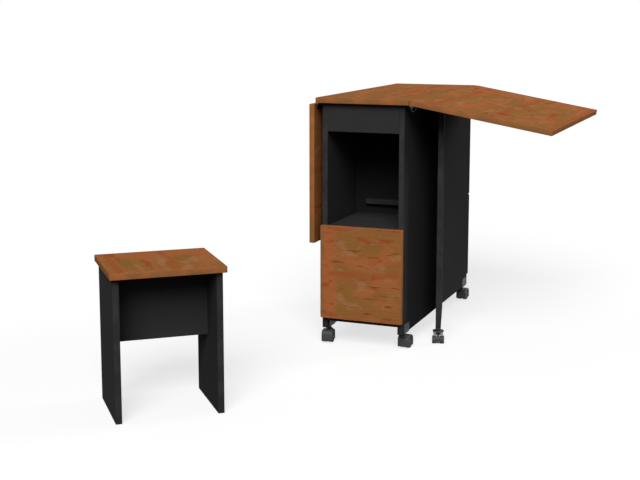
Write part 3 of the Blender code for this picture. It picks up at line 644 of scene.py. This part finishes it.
def wheel_pair(radius, width):
    """Two wheels on an axle round Z: a crowned tread, a round shoulder and a dished face with five pockets.

    A face's height falls by a pocket's depth where its radius and five-fold angle are both inside the pocket.
    """
    outer = WHEEL_GAP + width
    rim, hub = RIM_SHARE * radius, HUB_SHARE * radius
    face = [(0.0, outer - 0.0004), (hub * 0.55, outer - 0.0005), (hub * 0.9, outer - 0.0009)]
    face += [(hub, outer - 0.0018)]
    face += [(radius_at, outer - WHEEL_DISH) for radius_at in np.linspace(hub * 1.12, rim * 0.94, 6)]
    face += [(rim, outer - 0.0016), (rim + 0.0006, outer - 0.0002), (rim + 0.0012, outer)]
    face += corner_of((radius - WHEEL_EDGE, outer - WHEEL_EDGE), WHEEL_EDGE, 80, 8)
    half = face + [(radius, WHEEL_GAP + WHEEL_EDGE)]
    half += corner_of((radius - WHEEL_EDGE, WHEEL_GAP + WHEEL_EDGE), WHEEL_EDGE, -8, -80)
    half += [(BOSS, WHEEL_GAP), (BOSS, WHEEL_GAP - BOSS_RISE), (AXLE, WHEEL_GAP - BOSS_RISE)]
    profile = np.array(half + [(r, -x) for r, x in reversed(half)])
    points, faces = turned(profile, WHEEL_SIDES)
    grid = points.reshape(len(profile), WHEEL_SIDES, 3)
    reach = profile[:, 0]
    window = np.clip((reach - hub * 1.05) / POCKET_SLOPE, 0, 1)
    window *= np.clip((rim * 0.97 - reach) / POCKET_SLOPE, 0, 1)
    window *= np.abs(profile[:, 1]) > outer - 1.1 * WHEEL_DISH
    fold = np.clip(1.6 * np.cos(POCKETS * np.arange(WHEEL_SIDES) * 2 * math.pi / WHEEL_SIDES) + 0.5, 0, 1)
    grid[..., 2] -= np.sign(profile[:, 1])[:, None] * POCKET_DEPTH * window[:, None] * fold
    return grid.reshape(-1, 3), faces


def bridge_outline():
    """The gate caster's cross plate seen from its end: a rectangle with round corners."""
    return [place for first, across, up in ((0, 1, 1), (90, -1, 1), (180, -1, -1), (270, 1, -1))
            for place in corner_of((across * BRIDGE_REACH, BRIDGE_MIDDLE + up * BRIDGE_RISE), BRIDGE_CORNER,
                                   first, first + 90)]


def caster(name, low):
    """Dresses one caster: wheels, then a hooded fork, or under a gate a flat cap on a post."""
    stem = Vector(joints[name + "_turn"]["pos_m"])
    axle = Vector(joints[name + "_roll"]["pos_m"])
    trail = Vector((axle.x - stem.x, axle.y - stem.y, 0))
    behind = trail.normalized()
    axle_way = behind.cross(Vector((0, 0, 1)))
    radius, width = axle.z, GATE_WHEEL_WIDTH if low else WHEEL_WIDTH
    swivel = name + "_swivel"
    # The wheels are turned round Z and laid over, so that their axis runs along the axle
    piece(name + "_wheel_pair", name + "_wheels", [wheel_pair(radius, width)],
          place_of(axle, (0, 0, 1), axle_way), TREAD, name + "_wheels")
    own = place_of((stem.x, stem.y, 0), axle_way, (0, 0, 1))
    shift = np.array([0, trail.length, axle.z])
    if low:
        angle = np.arange(GATE_WEB_SIDES) * 2 * math.pi / GATE_WEB_SIDES
        web_line = (radius - GATE_WEB_INSET) * np.stack([np.cos(angle), np.sin(angle)], -1)
        parts = [turned(GATE_CAP, sides=48), turned(GATE_POST, sides=32), turned(GATE_SPINE, sides=16)]
        piece(name + "_bridge", swivel, [web_plate(bridge_outline(), BRIDGE_HALF)],
              own @ Matrix.Rotation(math.pi / 2, 4, "Z"), ZINC)
    else:
        web_line, _ = squared_arc(HOOD_HALF_LENGTH - HOOD_WALL / 2, HOOD_RISE - HOOD_WALL / 2,
                                  HOOD_LIP_HEIGHT + HOOD_TUCK - axle.z)
        shell, shell_faces = hood_shell(axle.z)
        parts = [(shell + shift, shell_faces), turned(COLLAR, sides=40)]
    web, web_faces = web_plate(web_line, WEB_HALF)
    parts.append((web + shift, web_faces))
    piece(name + "_housing", swivel, parts, own, NYLON, name + "_fork")
    piece(name + "_stem", swivel, [turned(STEM, sides=24)], own, PLATED)


for corner in ("front_left", "front_right", "rear_left", "rear_right", "gate_left", "gate_right"):
    caster("caster_" + corner, corner.startswith("gate"))


# ---------------------------------------------------------------- brackets, screws and hinges

BRACKET_HALF_SLOT = 0.0083
BRACKET_PLATE = 0.0015
BRACKET_BOTTOM = 0.0482
BRACKET_HALF_WIDTH = 0.024
BRACKET_TIP_RADIUS = 0.007
BRACKET_TIP_POINTS = 7
BRACKET_BEND_POINTS = 6
BRACKET_OUTER_FLANGE = 0.0302
BRACKET_INNER_FLANGE = 0.0212
BRACKET_EASE = 0.0003
BRACKET_SCREW_HEIGHT = 0.0655
BRACKET_SCREW_RADIUS = 0.0042
BRACKET_SCREW_RISE = 0.0009

# A screw's head. Its rings, its dome and the half width, half length and depth of its cross are shares of
# its radius. Its rim stands a little over the plate, and its underside is sunk into it.
SCREW_SIDES = 24
SCREW_RINGS = (0.0, 1.0, 1.0, 0.94, 0.78, 0.58, 0.44, 0.22, 0.0)
SCREW_DOME = 0.12
SCREW_LIFT = 0.0001
SCREW_SINK = 0.0003
CROSS_THIN = 0.12
CROSS_LONG = 0.62
CROSS_DEPTH = 0.45

# Rows of screws in a hinge plate: the plate's thickness and width, the number of screws and their radius
LEAF_ROW = (0.0014, 0.0135, 3, 0.0022)
GATE_ROW = (0.0012, 0.0140, 7, 0.0020)
GATE_LAG = 0.25
DOOR_PLATE = 0.0010
DOOR_PLATE_WIDTH = 0.0140
DOOR_SCREW_RADIUS = 0.0020
ROW_FROM_EDGE = 0.44


def folded_plate():
    """A strip folded under a board's edge: a rectangle 1.5 mm thick carried along a U with round bends.

    Towards a flange's tip its half width shrinks as w - r + sqrt(r^2 - (r - d)^2), d from the tip.
    """
    bend = BRACKET_PLATE
    middle = BRACKET_HALF_SLOT + BRACKET_PLATE / 2
    floor = BRACKET_BOTTOM + BRACKET_PLATE / 2
    tips = (floor + BRACKET_OUTER_FLANGE, floor + BRACKET_INNER_FLANGE)
    tip_steps = BRACKET_TIP_RADIUS * (1 - np.cos(np.linspace(0, math.pi / 2, BRACKET_TIP_POINTS)))
    bend_turn = np.linspace(0, math.pi / 2, BRACKET_BEND_POINTS)
    right = [(middle, tips[0] - d) for d in tip_steps]
    right += [(middle - bend + bend * math.cos(t), floor + bend - bend * math.sin(t)) for t in bend_turn]
    left = [(-middle, tips[1] - d) for d in tip_steps]
    left += [(-middle + bend - bend * math.cos(t), floor + bend - bend * math.sin(t)) for t in bend_turn]
    line = np.array(right + left[::-1])
    run = np.gradient(line, axis=0)
    run /= np.linalg.norm(run, axis=1)[:, None]
    out = np.stack([-run[:, 1], run[:, 0]], -1)
    near_tip = np.minimum(np.concatenate([tip_steps, np.full(len(line) - len(tip_steps), 1.0)]),
                          np.concatenate([np.full(len(line) - len(tip_steps), 1.0), tip_steps[::-1]]))
    into = np.maximum(BRACKET_TIP_RADIUS - near_tip, 0)
    rounded = np.sqrt(np.maximum(BRACKET_TIP_RADIUS ** 2 - into ** 2, 0))
    half = BRACKET_HALF_WIDTH - BRACKET_TIP_RADIUS + rounded
    thick, ease = BRACKET_PLATE / 2, BRACKET_EASE
    section = np.array([(1, thick - ease), (1, ease - thick), (1, -thick), (-1, -thick), (-1, ease - thick),
                        (-1, thick - ease), (-1, thick), (1, thick)])
    reach = half[:, None] - ease * (np.abs(section[:, 1]) > thick - ease / 2)
    y = section[:, 0] * reach
    flat = line[:, None] + out[:, None] * section[None, :, 1, None]
    points = np.stack([flat[..., 0], y, flat[..., 1]], -1)
    rows, columns = points.shape[:2]
    faces = joined_grid(rows, columns).tolist()
    faces += [list(range(columns)), list(range((rows - 1) * columns, rows * columns))]
    return points.reshape(-1, 3), faces


def screw_heads(places, normal, across, radius, rise):
    """Domed heads with a cross recess, at a list of places.

    Height is rise (1 - (r/R)^2), less the recess where the point lies in either arm of the cross.
    """
    share = np.array(SCREW_RINGS)
    angle = np.arange(SCREW_SIDES) * 2 * math.pi / SCREW_SIDES
    x, y = share[:, None] * np.cos(angle), share[:, None] * np.sin(angle)
    dome = rise * (1 - share ** 2)[:, None] + SCREW_LIFT
    thin, long = np.minimum(np.abs(x), np.abs(y)), np.maximum(np.abs(x), np.abs(y))
    cross = (thin < CROSS_THIN) & (long < CROSS_LONG)
    height = np.where(cross, dome - CROSS_DEPTH * radius, dome)
    height[:2] = -SCREW_SINK
    normal, across = np.array(normal, float), np.array(across, float)
    second = np.cross(normal, across)
    head = (x[..., None] * across + y[..., None] * second) * radius + height[..., None] * normal
    points = np.array(places)[:, None, None] + head
    size = head.shape[0] * head.shape[1]
    faces = joined_grid(*head.shape[:2])
    faces = (faces[None] + (np.arange(len(places)) * size)[:, None, None]).reshape(-1, 4)
    return points.reshape(-1, 3), faces


def plate_screws(node, toward, wood_side, row, look, lag=0.0):
    """A row of screws along a hinge plate, on the face that looks away from the wood.

    lag moves the row along by a share of its pitch, so that the rows of a closed hinge miss each other.
    """
    plate, width, count, radius = row
    toward, wood_side = np.array(toward, float), np.array(wood_side, float)
    along = np.cross(toward, wood_side)
    low, high = own_frame(node, Matrix((toward, wood_side, along)).transposed())
    steps = (np.arange(count) + 0.5 + lag) / count
    middle = high[0] - ROW_FROM_EDGE * width
    places = [toward * middle + wood_side * (high[1] - plate) + along * (low[2] + (high[2] - low[2]) * step)
              for step in steps]
    heads = screw_heads(places, -wood_side, toward, radius, SCREW_DOME * radius)
    piece(node + "_screws", frame["nodes"][node]["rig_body"], [heads], Matrix.Identity(4), look)


for corner, side in (("front_left", -1), ("front_right", 1), ("rear_left", -1), ("rear_right", 1)):
    name = "caster_" + corner
    low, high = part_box(name + "_mount")
    centre = Vector(((low.x + high.x) / 2, (low.y + high.y) / 2, 0))
    out = Vector((side, 0, 0))
    place = place_of(centre, out, (0, 0, 1))
    piece(name + "_bracket", "cabinet", [folded_plate()], place, BRACKET, name + "_mount")
    head_at = centre + out * (BRACKET_HALF_SLOT + BRACKET_PLATE) + Vector((0, 0, BRACKET_SCREW_HEIGHT))
    heads = screw_heads([head_at], out, (0, 1, 0), BRACKET_SCREW_RADIUS, BRACKET_SCREW_RISE)
    piece(name + "_bracket_screw", "cabinet", [heads], Matrix.Identity(4), DARK_SCREW)

for name, side, out, face in (("leaf_left", -1, (0, 0, -1), (-1, 0, 0)),
                              ("leaf_right", 1, droop @ Vector((1, 0, 0)), droop @ Vector((0, 0, 1)))):
    for end in ("front", "rear"):
        plate_screws(f"{name}_hinge_{end}_fixed", (-side, 0, 0), (0, 0, 1), LEAF_ROW, PLATED)
        plate_screws(f"{name}_hinge_{end}_swung", out, face, LEAF_ROW, PLATED)
for name, side, count in (("front_door", -1, 4), ("rear_lower_door", 1, 4), ("rear_upper_door", 1, 5)):
    row = (DOOR_PLATE, DOOR_PLATE_WIDTH, count, DOOR_SCREW_RADIUS)
    plate_screws(name + "_hinge_fixed", (0, -side, 0), (1, 0, 0), row, PLATED)
    plate_screws(name + "_hinge_swung", (0, side, 0), (1, 0, 0), row, PLATED)
for name, side, turn in (("gate_left", -1, Matrix.Rotation(math.pi, 3, "Z")), ("gate_right", 1, gate_turn)):
    # The fixed plate's row is measured upwards and the swung one's downwards, so one lag parts them
    plate_screws(name + "_hinge_fixed", (0, side, 0), (-side, 0, 0), GATE_ROW, LACQUERED, GATE_LAG)
    toward, wood_side = turn @ Vector((0, -1, 0)), turn @ Vector((-1, 0, 0))
    plate_screws(name + "_hinge_swung", toward, wood_side, GATE_ROW, LACQUERED, GATE_LAG)

LOOP_RADIUS = 0.0066
LOOP_WIRE = 0.0012
LOOP_DROP = 0.0110
LOOP_SIDES = 10
# A wire's arc: its first and last degree, and its number of rings
LOOP_ARC = (62, 298, 20)
HOOK_ARC = (-22, 22, 10)


def ring_part(first, last, steps):
    """A bent wire: a small circle carried along an arc in the XZ plane, rounded over at its ends."""
    angle = np.radians(np.linspace(first, last, steps))
    share = np.concatenate([[0.0, 0.7], np.ones(steps - 4), [0.7, 0.0]])
    round_turn = np.arange(LOOP_SIDES) * 2 * math.pi / LOOP_SIDES
    reach = LOOP_RADIUS + LOOP_WIRE * share[:, None] * np.cos(round_turn)
    points = np.stack([reach * np.cos(angle)[:, None], LOOP_WIRE * share[:, None] * np.sin(round_turn),
                       reach * np.sin(angle)[:, None]], -1)
    return points.reshape(-1, 3), joined_grid(steps, LOOP_SIDES)


hinge_axis = joints["leaf_right_fold"]["pos_m"]
for end in ("front", "rear"):
    low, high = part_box(f"leaf_right_hinge_{end}_fixed")
    place = Matrix.Translation((hinge_axis[0], (low.y + high.y) / 2, hinge_axis[2] - LOOP_DROP))
    piece(f"leaf_right_{end}_loop", "cabinet", [ring_part(*LOOP_ARC)], place, PLATED)
    piece(f"leaf_right_{end}_hook", "leaf_right", [ring_part(*HOOK_ARC)], place, PLATED)

# The CAD's own solids that still show are hinges, and the rest keep the boards' look
for name, item in frame["nodes"].items():
    if name.startswith("gate") and "hinge" in name:
        item.data.materials[0] = LACQUERED
    elif "hinge" in name or "mount" in name:
        item.data.materials[0] = PLATED
    else:
        item.data.materials[0] = BLACK_FACE


# ---------------------------------------------------------------- stage, light and camera

def looked_at(tree):
    """1 for rays that show a surface in the picture, straight, mirrored or through glass, else 0."""
    rays = add(tree, "LightPath")
    seen = add(tree, "Math", {0: rays.outputs["Is Camera Ray"], 1: rays.outputs["Is Glossy Ray"]},
               operation="MAXIMUM").outputs[0]
    return add(tree, "Math", {0: seen, 1: rays.outputs["Is Transmission Ray"]},
               operation="MAXIMUM").outputs[0]


def white_floor():
    """A pale floor that keeps the table's shadow and casts little light back."""
    made, tree, shader = new_material("pale_floor")
    seen = looked_at(tree)
    colour = add(tree, "Mix", {0: seen, 6: FLOOR_LIT, 7: FLOOR_SEEN}, data_type="RGBA").outputs[2]
    feed(tree, shader, colour, Roughness=1.0, Specular_IOR_Level=0.0)
    glow = add(tree, "Emission", {0: (1, 1, 1, 1), 1: 1.0})
    share = add(tree, "Math", {0: seen, 1: FLOOR_GLOW}, operation="MULTIPLY").outputs[0]
    both = add(tree, "MixShader", {0: share, 1: shader.outputs[0], 2: glow.outputs[0]})
    add(tree, "OutputMaterial", {0: both.outputs[0]}, is_active_output=True)
    mesh = bpy.data.meshes.new("floor")
    corners = [(x * FLOOR_REACH, y * FLOOR_REACH, 0) for x, y in ((-1, -1), (1, -1), (1, 1), (-1, 1))]
    mesh.from_pydata(corners, [], [(0, 1, 2, 3)])
    object_of("floor", mesh, [made])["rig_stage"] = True


def studio_light():
    """A soft key lamp from the front and above, two low fills, and a world that is white to look at."""
    world = bpy.data.worlds.new("studio")
    bpy.context.scene.world = world
    world.use_nodes = True
    tree = world.node_tree
    tree.nodes.clear()
    level = add(tree, "MapRange", {0: looked_at(tree), 3: AMBIENT_LEVEL, 4: 1.0}).outputs[0]
    sky = add(tree, "Background", {0: (1, 1, 1, 1), 1: level})
    add(tree, "OutputWorld", {0: sky.outputs[0]})
    for name, (direction, strength, spread) in LAMPS.items():
        lamp = bpy.data.lights.new(name, "SUN")
        lamp.energy = strength
        lamp.angle = math.radians(spread)
        made = bpy.data.objects.new(name, lamp)
        made.rotation_euler = Vector(direction).to_track_quat("Z", "Y").to_euler()
        bpy.context.scene.collection.objects.link(made)


def photograph_camera():
    """The camera at the photograph's viewing angle."""
    lens = bpy.data.cameras.new("camera")
    lens.lens = CAMERA_LENS
    lens.shift_y = CAMERA_SHIFT_UP
    made = bpy.data.objects.new("camera", lens)
    made.location = CAMERA_PLACE
    made.rotation_euler = (math.pi / 2 - CAMERA_PITCH, 0, CAMERA_AZIMUTH)
    bpy.context.scene.collection.objects.link(made)
    bpy.context.scene.camera = made


white_floor()
studio_light()
photograph_camera()
bpy.context.scene.view_settings.view_transform = "Standard"

low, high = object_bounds()
